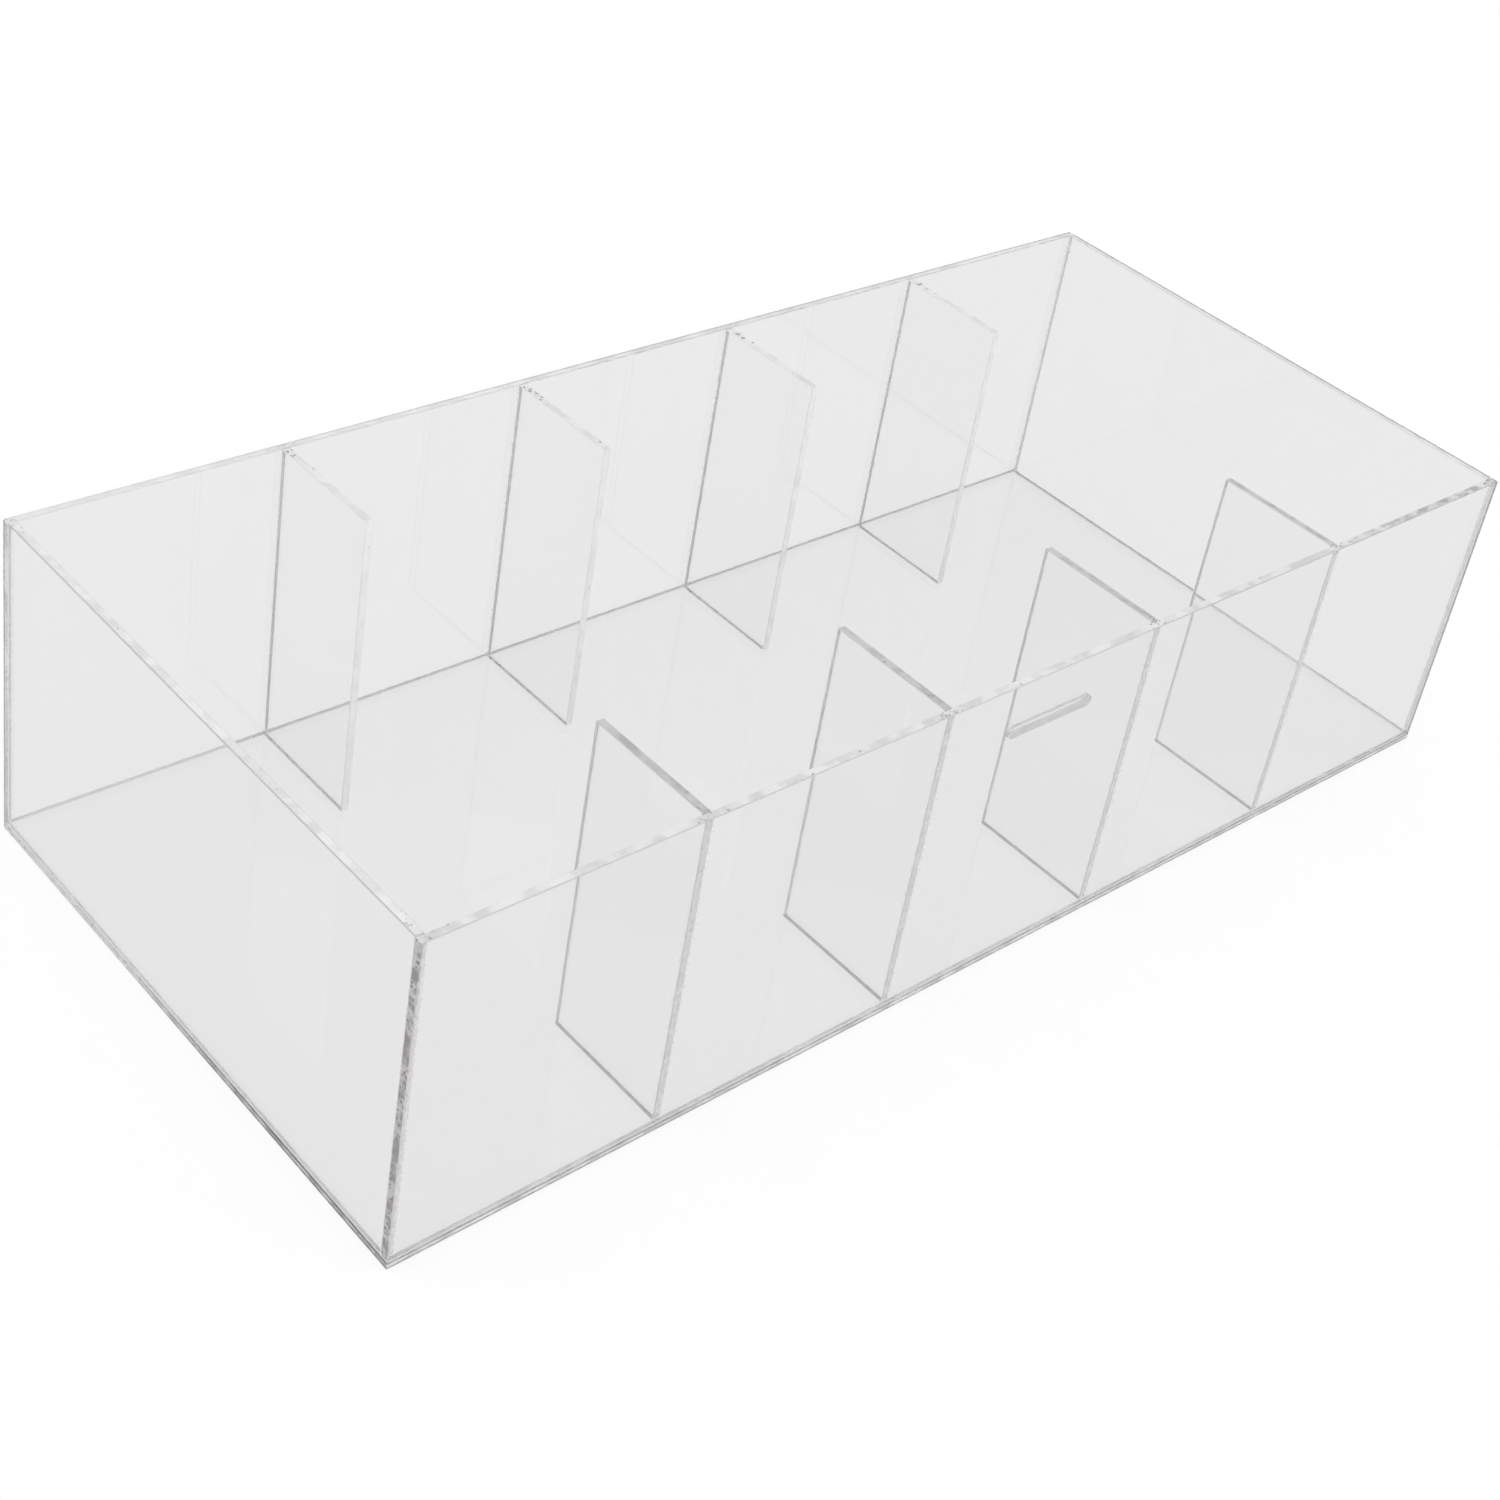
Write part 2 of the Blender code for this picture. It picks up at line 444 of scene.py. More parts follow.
@dataclass(frozen=True)
class SawnEdge:
    """A cut edge as the saw and a light flaming leave it: milky or half clear by turns, streaked, specked."""

    milk_tint: Colour = (0.97, 0.955, 0.965)
    shade_tint: Colour = (0.74, 0.73, 0.735)
    least_milk: float = 0.85
    most_milk: float = 1.0
    milk_span: Span = (0.55, 0.85)
    milk_streak_weight: float = 0.4
    through: float = 0.1
    streaks_per_metre: float = 600
    streak_rough: float = 0.6
    streak_depth: float = 0.00005
    streak_weight: float = 0.4
    across_share: float = 0.5
    patches_per_metre: float = 170
    patch_span: Span = (-0.12, 0.08)
    specks_per_metre: float = 1300
    speck_size: float = 0.36
    speck_height: float = 0.6
    speck_share: float = 0.01
    speck_shade: float = 0.78
    crowd_share: float = 0.4
    roughness: float = 0.45
    painted_fade: PaintedShadeFade | None = None
    mottle_span: Span = (0.45, 0.58)
    # A thin dark line next to the sheet's faces: painted shade for the dark outline that the light makes there.
    shaded_lip_tint: Colour = (0.30, 0.29, 0.28)
    shaded_lip_span: Span = (0.35, 0.6)
    shaded_lip_shares: Span = (0.4, 0.9)

    def shader(
        self, tree: ShaderTree, through_axis: Axis, crowd: Number, shaded_lip: Number
    ) -> bpy.types.NodeSocket:
        """The shader of a cut edge.

        Args:
            tree: The material's tree.
            through_axis: The axis of the sheet's thickness, along which the saw's streaks run.
            crowd: Where bubbles and cement crowd, as a share.
            shaded_lip: Where painted shade darkens the edge in a thin line next to the sheet's faces, as a
                share.

        Returns:
            The shader.
        """
        stretch = tuple(self.across_share if axis is through_axis else 1.0 for axis in Axis)
        vector = tree.stretched(stretch)
        streaks = tree.noise(self.streaks_per_metre, detail=4, vector=vector, rough=self.streak_rough)
        patches = tree.noise(self.patches_per_metre, detail=4)
        speck_share = self.speck_share + self.crowd_share * crowd
        specks = tree.dots(self.specks_per_metre, self.speck_size, speck_share)
        normal = tree.bump(streaks + self.speck_height * specks, self.streak_depth)
        mean = (1 + self.streak_weight) / 2
        start, end = (mean + step for step in self.patch_span)
        shade = tree.spread(patches + self.streak_weight * streaks, start, end)
        colour = tree.mixed_colour(shade, self.shade_tint, self.milk_tint)
        # Painted shade that changes along the edge, laid over the edge's own colour.
        if self.painted_fade:
            faded = self.painted_fade.share(tree, patches)
            if self.painted_fade.mottled:
                mottling = tree.noise(2 * self.patches_per_metre, detail=4)
                faded = faded * tree.spread(mottling, *self.mottle_span)
            colour = tree.mixed_colour(faded, colour, self.painted_fade.tint)
            shaded_lip = shaded_lip * (1 - faded) if isinstance(shaded_lip, Channel) else shaded_lip
        # Painted shade: a thin dark line along the edge, next to the sheet's faces.
        if isinstance(shaded_lip, Channel):
            shaded_lip = shaded_lip * tree.spread(streaks, *self.shaded_lip_span, *self.shaded_lip_shares)
            colour = tree.mixed_colour(shaded_lip, colour, self.shaded_lip_tint)
        speck_tint = tuple(self.speck_shade * part for part in self.shade_tint)
        colour = tree.mixed_colour(specks, colour, speck_tint)
        clear = tree.glass(CLEAR, self.roughness, normal)
        cloud = tree.milk(colour, self.milk_tint, self.roughness, self.through, normal)
        milkiness = patches + self.milk_streak_weight * streaks
        share = tree.spread(milkiness, *self.milk_span, self.least_milk, self.most_milk)
        return tree.layered(share, clear, cloud)


@dataclass(frozen=True)
class BrokenEdge:
    """The narrow scraped strip where a cut edge meets a face, with its sharpness taken off and greyed by
    painted shade.
    """

    tint: Colour = (0.74, 0.725, 0.73)
    least: float = 0.45
    most: float = 0.95
    grey_span: Span = (0.35, 0.65)
    through: float = 0.1
    roughness: float = 0.3
    nicks_per_metre: float = 500
    nick_depth: float = 0.00008

    def shader(self, tree: ShaderTree) -> bpy.types.NodeSocket:
        """The shader of a broken edge.

        Args:
            tree: The material's tree.

        Returns:
            The shader.
        """
        nicks = tree.noise(self.nicks_per_metre, detail=4)
        normal = tree.bump(nicks, self.nick_depth)
        clear = tree.glass(CLEAR, self.roughness, normal)
        # The scraped strip is milky, and its grey is painted shade for the thin dark outline along the broken
        # edge.
        grey = tree.milk(self.tint, self.tint, self.roughness, self.through, normal)
        return tree.layered(tree.spread(nicks, *self.grey_span, self.least, self.most), clear, grey)


@dataclass(frozen=True)
class CementedEdge:
    """A cut edge that the solvent has softened and joined, dull where the two sheets haven't run together."""

    tint: Colour = (0.97, 0.96, 0.965)
    least: float = 0.5
    most: float = 0.95
    dull_span: Span = (0.4, 0.6)
    through: float = 0.2
    patches_per_metre: float = 260
    patch_depth: float = 0.00003
    clear_roughness: float = 0.12
    dull_roughness: float = 0.5
    painted_fade: PaintedShadeFade | None = None

    def shader(self, tree: ShaderTree) -> bpy.types.NodeSocket:
        """The shader of a cemented edge.

        Args:
            tree: The material's tree.

        Returns:
            The shader.
        """
        patches = tree.noise(self.patches_per_metre, detail=4)
        normal = tree.bump(patches, self.patch_depth)
        clear = tree.glass(CLEAR, self.clear_roughness, normal)
        colour = self.tint
        # Painted shade that changes along the cemented edge, laid over its own tint.
        if self.painted_fade:
            colour = tree.mixed_colour(self.painted_fade.share(tree, patches), self.tint, self.painted_fade.tint)
        dull = tree.milk(colour, self.tint, self.dull_roughness, self.through, normal)
        return tree.layered(tree.spread(patches, *self.dull_span, self.least, self.most), clear, dull)


@dataclass(frozen=True)
class RoutedWall:
    """The frosted wall of the routed slot, with the fine rings that the cutter leaves."""

    tint: Colour = (1.0, 0.985, 0.995)
    groove_tint: Colour = (0.80, 0.78, 0.79)
    groove_span: Span = (0.4, 0.55)
    least_frost: float = 0.77
    most_frost: float = 0.97
    frost_span: Span = (0.3, 0.7)
    through: float = 0.35
    rings_per_metre: float = 5000
    ring_stretch: tuple[float, float, float] = (0.05, 1, 0.05)
    ring_depth: float = 0.00002
    roughness: float = 0.4

    def shader(self, tree: ShaderTree) -> bpy.types.NodeSocket:
        """The shader of the slot's wall, whose rings run along the slot.

        Args:
            tree: The material's tree.

        Returns:
            The shader.
        """
        rings = tree.noise(self.rings_per_metre, detail=2, vector=tree.stretched(self.ring_stretch))
        normal = tree.bump(rings, self.ring_depth)
        clear = tree.glass(CLEAR, self.roughness, normal)
        grooves = tree.spread(rings, *self.groove_span)
        colour = tree.mixed_colour(grooves, self.groove_tint, self.tint)
        cloud = tree.milk(colour, self.tint, self.roughness, self.through, normal)
        frost = tree.spread(rings, *self.frost_span, self.least_frost, self.most_frost)
        return tree.layered(frost, clear, cloud)


@dataclass(frozen=True)
class CementFinish:
    """Hardened solvent cement: clear resin clouded by fine air bubbles."""

    milk_tint: Colour = (0.99, 0.97, 0.98)
    least: float = 0.85
    most: float = 1.0
    milk_span: Span = (0.35, 0.65)
    milk_roughness: float = 0.3
    through: float = 0.15
    clear_roughness: float = 0.1
    patches_per_metre: float = 420
    grain_depth: float = 0.00003
    bubbles_per_patch: float = 3.5
    bubble_size: float = 0.35
    bubble_share: float = 0.4

    def material(self, name: str) -> bpy.types.Material:
        """Makes the material of a cement piece.

        Args:
            name: The material's name.

        Returns:
            The material.
        """
        tree = ShaderTree.of_material(name)
        patches = tree.noise(self.patches_per_metre, detail=5)
        normal = tree.bump(patches, self.grain_depth)
        clear = tree.glass(CLEAR, self.clear_roughness, normal)
        bubbles_per_metre = self.bubbles_per_patch * self.patches_per_metre
        fine = tree.dots(bubbles_per_metre, self.bubble_size, self.bubble_share)
        colour = tree.mixed_colour(fine, self.milk_tint, WHITE)
        cloud = tree.milk(colour, self.milk_tint, self.milk_roughness, self.through, normal)
        share = tree.spread(patches, *self.milk_span, self.least, self.most)
        return tree.finish(tree.layered(share, clear, cloud))


@dataclass(frozen=True)
class SheetAcrylic:
    """The acrylic of one sheet, with a finish for each kind of face that the sheet has."""

    face: PolishedFace = PolishedFace()
    edge: SawnEdge = SawnEdge()
    ends: SawnEdge | None = None
    arris: BrokenEdge = BrokenEdge()
    foot: CementedEdge = CementedEdge()
    butt: CementedEdge = CementedEdge(tint=(0.99, 0.97, 0.98), least=0.85, most=1.0)
    slot: RoutedWall | None = None
    slot_reach: float = 0.018
    slot_band: Span = (0.009, 0.020)
    crowd_reach: float = 0.012
    haze_reach: float = 0.0012
    # Painted shade: how far in from a face the thin dark line reaches, and on which face, or on both.
    shaded_lip_reach: float = 0
    shaded_lip_side: Side | None = None
    lamp_share: float = 0.85

    @staticmethod
    def _nearness(tree: ShaderTree, spots: Iterable[tuple[Axis, float]], reach: float) -> Number:
        """How near a place is to an upright joint, from 1 at the joint to 0 at a distance.

        Args:
            tree: The material's tree.
            spots: The axis and the place along it of each joint.
            reach: The distance in metres.

        Returns:
            The channel, or zero for a sheet without joints.
        """
        place = tree.place()
        near: Number = 0
        for axis, spot in spots:
            near = near + tree.spread(abs(place[axis] - spot), 0, reach, low=1, high=0)
        return near

    @staticmethod
    def _looks(facing: tuple[Channel, ...], side: Side) -> Channel:
        """One where the surface looks to a side, and zero elsewhere."""
        return side.sign * facing[side.axis] > SQUARE_ON

    def material(
        self,
        name: str,
        node: str,
        butts: Iterable[Side] = (),
        joints_x: Iterable[float] = (),
        on_floor: bool = True,
    ) -> bpy.types.Material:
        """Makes the material.

        Args:
            name: The material's name.
            node: A node that the material is for, whose box gives the sheet's axes and ends.
            butts: The upright sides whose cut edges are cemented to another sheet.
            joints_x: Where other sheets are cemented against this one, along +X.
            on_floor: Whether the sheet's lowest edge is cemented to the floor panel.

        Returns:
            The material.
        """
        low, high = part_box(node)
        size = high - low
        through_axis = min(Axis, key=lambda axis: size[axis])
        long_axis = max((Axis.X, Axis.Y), key=lambda axis: size[axis])
        spots = [(side.axis, (high if side.sign > 0 else low)[side.axis]) for side in butts]
        spots += [(Axis.X, x) for x in joints_x]
        tree = ShaderTree.of_material(name)
        facing = tree.facing()
        place = tree.place()
        across = abs(facing[through_axis])
        haze = self._nearness(tree, spots, self.haze_reach)
        if on_floor:
            haze = haze + tree.spread(place[Axis.Z] - low.z, 0, self.haze_reach, low=1, high=0)
        surface = self.face.shader(tree, haze)
        surface = tree.layered(across < SQUARE_ON, surface, self.arris.shader(tree))
        crowd = self._nearness(tree, spots, self.crowd_reach)
        # Painted shade: the thin dark line along the edges, next to the sheet's faces.
        shaded_lip: Number = 0
        if self.shaded_lip_reach:
            off = place[through_axis] - (low + high)[through_axis] / 2
            off = self.shaded_lip_side.sign * off if self.shaded_lip_side else abs(off)
            shaded_lip = off > size[through_axis] / 2 - self.shaded_lip_reach
        surface = tree.layered(across < EDGE_ON, surface, self.edge.shader(tree, through_axis, crowd, shaded_lip))
        if self.ends:
            at_end = abs(facing[long_axis]) > SQUARE_ON
            surface = tree.layered(at_end, surface, self.ends.shader(tree, through_axis, crowd, shaded_lip))
        for side in butts:
            surface = tree.layered(self._looks(facing, side), surface, self.butt.shader(tree))
        if on_floor:
            surface = tree.layered(self._looks(facing, Side.BOTTOM), surface, self.foot.shader(tree))
        if self.slot:
            drop = high.z - place[Axis.Z]
            nearest, furthest = self.slot_band
            inside = (abs(place[Axis.X]) < self.slot_reach) * (drop > nearest) * (drop < furthest)
            surface = tree.layered(inside * (across < EDGE_ON), surface, self.slot.shader(tree))
        lamp_ray = Channel(tree, tree.node("ShaderNodeLightPath").outputs["Is Shadow Ray"])
        passing = tree.node("ShaderNodeBsdfTransparent", {}, {"Color": self.face.tint}).outputs[0]
        through_face = self.lamp_share * lamp_ray * (across > SQUARE_ON)
        return tree.finish(tree.layered(through_face, surface, passing))


def deselect_all() -> None:
    """Deselects every object, so that the next operator acts on its own piece alone."""
    if bpy.context.object and bpy.context.object.mode != "OBJECT":
        bpy.ops.object.mode_set(mode="OBJECT")
    bpy.ops.object.select_all(action="DESELECT")


def pick_faces(piece: bpy.types.Object, wanted: Callable[[bmesh.types.BMFace], bool]) -> int:
    """Selects faces of the piece in edit mode by a test, and nothing else.

    Args:
        piece: The piece, in edit mode.
        wanted: The test.

    Returns:
        How many faces were picked.
    """
    bpy.ops.mesh.select_mode(type="FACE")
    bpy.ops.mesh.select_all(action="DESELECT")
    shape = bmesh.from_edit_mesh(piece.data)
    chosen = [face for face in shape.faces if wanted(face)]
    for face in chosen:
        face.select_set(True)
    bmesh.update_edit_mesh(piece.data)
    return len(chosen)


@dataclass(frozen=True)
class Gap:
    """The thin space between two cemented sheets, from its lowest to its highest corner."""

    low: Vector
    high: Vector

    @classmethod
    def between(cls, one: str, other: str) -> "Gap":
        """The space where two sheets face each other.

        Args:
            one: The node of one sheet.
            other: The node of the other.

        Returns:
            The gap.
        """
        (low_a, high_a), (low_b, high_b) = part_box(one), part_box(other)
        spans = [sorted((max(low_a[axis], low_b[axis]), min(high_a[axis], high_b[axis]))) for axis in Axis]
        return cls(Vector([span[0] for span in spans]), Vector([span[1] for span in spans]))

    @property
    def size(self) -> Vector:
        """Its three lengths."""
        return self.high - self.low

    @property
    def order(self) -> list[Axis]:
        """Its axes, from the longest to the shortest."""
        return sorted(Axis, key=lambda axis: -self.size[axis])

    def pose(self) -> Matrix:
        """The placing of a flat strip in the gap.

        Returns:
            The matrix that lays the strip, whose length runs along +X, into it.
        """
        along, across = (Vector([float(part is axis) for part in Axis]) for axis in self.order[:2])
        turn = Matrix((along, across, along.cross(across))).transposed()
        return Matrix.Translation((self.low + self.high) / 2) @ turn.to_4x4()


@dataclass(frozen=True)
class CementStrip:
    """A straight strip of hardened cement, modelled flat with its length along +X and bubbles through it."""

    length: float
    width: float
    thickness: float
    cell: float = 0.0008
    wander_share: float = 0.22
    bubble_share: float = 0.16
    crowd_share: float = 0.35
    crowd_reach: float = 0.006
    rim_shares: Span = (0.16, 0.3)
    least_cells: int = 3
    rounding: int = 2

    def model(self, name: str, seed: int) -> bpy.types.Object:
        """Models the strip.

        Args:
            name: The piece's name.
            seed: The seed of its bubbles and its wandering outline.

        Returns:
            The strip, centred on the origin.
        """
        wander = self.cell * self.wander_share
        columns = max(self.least_cells, round(self.length / self.cell))
        rows = max(self.least_cells, round(self.width / self.cell))
        deselect_all()
        bpy.ops.mesh.primitive_grid_add(x_subdivisions=columns, y_subdivisions=rows, size=1)
        strip = bpy.context.object
        strip.name = name
        bpy.ops.object.mode_set(mode="EDIT")
        size = (self.length - 2 * wander, self.width - 2 * wander, 1)
        bpy.ops.transform.resize(value=size, center_override=(0, 0, 0))
        bpy.ops.transform.vertex_random(offset=wander, seed=seed)
        bpy.ops.transform.resize(value=(1, 1, 0), center_override=(0, 0, 0))
        self._open_bubbles(strip, random.Random(seed))
        bpy.ops.object.mode_set(mode="OBJECT")
        self._thicken(strip)
        return strip

    def _open_bubbles(self, strip: bpy.types.Object, dice: random.Random) -> None:
        """Opens large and then small bubbles, which crowd near the strip's far end.

        Args:
            strip: The flat strip, in edit mode.
            dice: Where the draws come from.
        """

        def holds_bubble(face: bmesh.types.BMFace) -> bool:
            """Draws whether a cell opens into a bubble, which one at the outline never does.

            Args:
                face: The cell.

            Returns:
                Whether it opens.
            """
            draw = dice.random()
            at_outline = any(edge.is_boundary for edge in face.edges)
            near_end = self.length / 2 - face.calc_center_median().x < self.crowd_reach
            share = self.crowd_share if near_end else self.bubble_share
            return not at_outline and draw < share / len(self.rim_shares)

        for rim_share in self.rim_shares:
            if pick_faces(strip, holds_bubble):
                bpy.ops.mesh.inset(thickness=self.cell * rim_share, use_individual=True)
                bpy.ops.mesh.delete(type="FACE")

    def _thicken(self, strip: bpy.types.Object) -> None:
        """Gives the flat strip its thickness and rounds its outline and bubbles.

        Args:
            strip: The flat strip, in object mode.
        """
        body = strip.modifiers.new("body", "SOLIDIFY")
        body.thickness = self.thickness
        body.offset = 0
        soft = strip.modifiers.new("soft", "SUBSURF")
        soft.levels = self.rounding
        soft.render_levels = self.rounding
        for modifier in (body, soft):
            bpy.ops.object.modifier_apply(modifier=modifier.name)
        bpy.ops.object.mode_set(mode="EDIT")
        bpy.ops.mesh.select_all(action="SELECT")
        bpy.ops.mesh.normals_make_consistent(inside=False)
        bpy.ops.object.mode_set(mode="OBJECT")
        bpy.ops.object.shade_smooth()


@dataclass
class CementWorks:
    """Lays the cement of a sheet's joints. Strips of one size are modelled once and copied."""

    clearance: float = 0.00002
    strips: dict[tuple[int, int], bpy.types.Object] = field(default_factory=dict)

    def strip_for(self, gap: Gap) -> bpy.types.Object:
        """Models the strip that fits a gap, or takes one of that size, and copies it.

        Args:
            gap: The gap.

        Returns:
            The copy, with its own mesh, in its place.
        """
        length, width, height = (gap.size[axis] - 2 * self.clearance for axis in gap.order)
        key = tuple(round(side * MICROMETRES_A_METRE) for side in (length, width))
        if key not in self.strips:
            seed = len(self.strips) + 1
            self.strips[key] = CementStrip(length, width, height).model(f"strip_{key[0]}", seed)
        copy = self.strips[key].copy()
        copy.data = self.strips[key].data.copy()
        copy.data.transform(gap.pose())
        bpy.context.scene.collection.objects.link(copy)
        return copy

    def lay(self, sheet: str, neighbours: Iterable[str], finish: bpy.types.Material) -> None:
        """Lays all the cement between a sheet and its neighbours, as one piece.

        Args:
            sheet: The node of the sheet.
            neighbours: The nodes that it is cemented to.
            finish: The cement's material.
        """
        copies = [self.strip_for(Gap.between(sheet, other)) for other in neighbours]
        deselect_all()
        for copy in copies:
            copy.select_set(True)
        bpy.context.view_layer.objects.active = copies[0]
        if len(copies) > 1:
            bpy.ops.object.join()
        piece = bpy.context.view_layer.objects.active
        piece.name = f"{sheet}_cement"
        piece.data.materials.clear()
        piece.data.materials.append(finish)
        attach(piece, ROOT_BODY)
        LOG.info("laid %s, %d faces", piece.name, len(piece.data.polygons))

    def clear_patterns(self) -> None:
        """Removes the strips that the copies were made from."""
        for strip in self.strips.values():
            bpy.data.objects.remove(strip)
        self.strips.clear()


def middle_x(node: str) -> float:
    """The middle of a node of the frame, along +X."""
    low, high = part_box(node)
    return (low.x + high.x) / 2


def row_nodes(row: str) -> list[str]:
    """The nodes of a row of dividers, from the left."""
    return [f"{row}_divider_{number}" for number in range(1, DIVIDERS_A_ROW + 1)]


def dress(node: str, material: bpy.types.Material) -> None:
    """Puts a material in every slot of a node of the frame.

    Args:
        node: The node.
        material: The material.
    """
    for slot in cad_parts[node].material_slots:
        slot.material = material
    LOG.info("dressed %s", node)


# Cut ends painted dark grey-brown: painted shade, not a colour of the acrylic.
SHADED_END = SawnEdge(
    milk_tint=(0.60, 0.58, 0.565),
    shade_tint=(0.22, 0.205, 0.19),
    least_milk=0.8,
    most_milk=0.98,
    streak_weight=0.7,
    patches_per_metre=230,
    speck_share=0.12,
)
PALE_END = SawnEdge(milk_tint=(0.99, 0.985, 0.99), shade_tint=(0.93, 0.925, 0.93), least_milk=0.95)

FAINT_ACRYLIC = SheetAcrylic(
    edge=SawnEdge(
        milk_tint=(0.98, 0.975, 0.98),
        shade_tint=(0.87, 0.865, 0.87),
        least_milk=0.93,
        specks_per_metre=800,
        speck_shade=0.45,
        crowd_share=0.8,
    ),
    ends=PALE_END,
    arris=BrokenEdge(tint=(0.95, 0.94, 0.945), least=0.75),
    foot=CementedEdge(tint=(0.95, 0.94, 0.94), least=0, most=0.1),
    butt=CementedEdge(tint=(0.55, 0.54, 0.54), least=0.3, most=0.55),
)
# The front dividers are the same acrylic and cement as the rear ones, painted greyer: painted shade.
SHADED_DIVIDER_ACRYLIC = SheetAcrylic(
    edge=SawnEdge(milk_tint=(0.70, 0.685, 0.71), shade_tint=(0.52, 0.51, 0.525)),
    ends=PALE_END,
    butt=CementedEdge(tint=(0.84, 0.82, 0.83), least=0.75, most=0.95),
)
CLEAR_CEMENT = CementFinish(least=0.0, most=0.15)
SHADED_DIVIDER_CEMENT = CementFinish(milk_tint=(0.84, 0.82, 0.83))


@dataclass
class Base:
    """The floor panel, whose sawn edges show all round under the walls."""

    node: str = FLOOR_PANEL
    # Painted shade on the floor panel: its darker edges, broken edges and cut ends, the cut ends darker towards
    # the front, and the dark line by its faces.
    acrylic: SheetAcrylic = SheetAcrylic(
        edge=SawnEdge(
            milk_tint=(0.86, 0.85, 0.855),
            shade_tint=(0.64, 0.63, 0.63),
            least_milk=0.8,
            most_milk=0.97,
            speck_share=0.12,
        ),
        ends=replace(
            SHADED_END,
            milk_tint=(0.72, 0.70, 0.69),
            shade_tint=(0.42, 0.40, 0.385),
            shaded_lip_tint=(0.08, 0.075, 0.07),
            painted_fade=PaintedShadeFade(Axis.Y, start=-0.035, end=0.03, tint=(0.88, 0.87, 0.87)),
        ),
        arris=BrokenEdge(tint=(0.50, 0.49, 0.48)),
        shaded_lip_reach=0.0008,
    )

    def build(self) -> None:
        """Dresses the floor panel."""
        dress(self.node, self.acrylic.material("floor_acrylic", self.node, on_floor=False))


@dataclass
class Surround:
    """The front and rear walls, over the whole length, and the two end walls between them."""

    works: CementWorks
    cement: CementFinish = CementFinish()
    # Painted shade on the end walls: the grey of the broken edges, and the foot's tint, darker towards the
    # front.
    end_acrylic: SheetAcrylic = SheetAcrylic(
        edge=SawnEdge(milk_tint=(1.0, 0.995, 1.0), shade_tint=(0.86, 0.85, 0.86), least_milk=0.92),
        arris=BrokenEdge(tint=(0.60, 0.58, 0.57)),
        foot=CementedEdge(painted_fade=PaintedShadeFade(Axis.Y, start=0.0, end=-0.05, tint=(0.16, 0.15, 0.14))),
        butt=CementedEdge(tint=(0.99, 0.97, 0.99), least=0.85, most=1.0, patches_per_metre=500),
    )
    # Painted shade on the right end wall: the thin dark line by its outer face, and its broken edges' grey.
    right_edge: SawnEdge = SawnEdge(shade_tint=(0.86, 0.85, 0.86), shaded_lip_tint=(0.20, 0.19, 0.18))
    right_arris: BrokenEdge = BrokenEdge(tint=(0.80, 0.78, 0.77), least=0.5)
    right_shaded_lip_reach: float = 0.0009
    # Painted shade on the front wall: the rim darker in patches towards the right end, the dark cut ends,
    # lighter towards the right, and the grey broken edges.
    front_acrylic: SheetAcrylic = SheetAcrylic(
        edge=SawnEdge(
            shade_tint=(0.80, 0.79, 0.795),
            speck_shade=0.6,
            crowd_share=0.7,
            painted_fade=PaintedShadeFade(Axis.X, start=0.09, end=0.15, tint=(0.44, 0.43, 0.41), mottled=True),
        ),
        ends=replace(SHADED_END, painted_fade=PaintedShadeFade(Axis.X, start=-0.1, end=0.1, tint=(0.58, 0.57, 0.56))),
        arris=BrokenEdge(tint=(0.64, 0.63, 0.63)),
        slot=RoutedWall(),
        crowd_reach=0.007,
    )
    # Painted shade on the rear wall: the rim lighter towards the left, the cut ends darker towards the bottom,
    # and the thin dark line by the rear face.
    rear_acrylic: SheetAcrylic = SheetAcrylic(
        edge=SawnEdge(
            milk_tint=(1.0, 0.99, 0.995),
            shade_tint=(0.88, 0.87, 0.875),
            crowd_share=0.6,
            shaded_lip_tint=(0.48, 0.47, 0.46),
            painted_fade=PaintedShadeFade(Axis.X, start=0.0, end=-0.2, tint=(0.96, 0.95, 0.955)),
        ),
        ends=SawnEdge(
            milk_tint=(0.84, 0.83, 0.82),
            shade_tint=(0.64, 0.63, 0.62),
            shaded_lip_tint=(0.20, 0.19, 0.18),
            painted_fade=PaintedShadeFade(Axis.Z, start=0.060, end=0.010, tint=(0.50, 0.49, 0.48), mottled=True),
        ),
        arris=BrokenEdge(tint=(0.86, 0.85, 0.85)),
        shaded_lip_reach=0.0008,
        shaded_lip_side=Side.REAR,
        crowd_reach=0.007,
    )

    def build(self) -> None:
        """Dresses the four walls and lays their cement."""
        long_walls = {"front_wall": self.front_acrylic, "rear_wall": self.rear_acrylic}
        right_acrylic = replace(
            self.end_acrylic,
            edge=self.right_edge,
            arris=self.right_arris,
            shaded_lip_reach=self.right_shaded_lip_reach,
            shaded_lip_side=Side.RIGHT,
        )
        ends = {"left_end_wall": self.end_acrylic, "right_end_wall": right_acrylic}
        seams = self.cement.material("wall_cement")
        joints_x = [middle_x(node) for node in (*ends, *row_nodes("front"))]
        for node, acrylic in long_walls.items():
            dress(node, acrylic.material(f"{node}_acrylic", node, joints_x=joints_x))
            self.works.lay(node, (FLOOR_PANEL,), seams)
        for node, acrylic in ends.items():
            dress(node, acrylic.material(f"{node}_acrylic", node, (Side.FRONT, Side.REAR)))
            self.works.lay(node, (FLOOR_PANEL, *long_walls), seams)


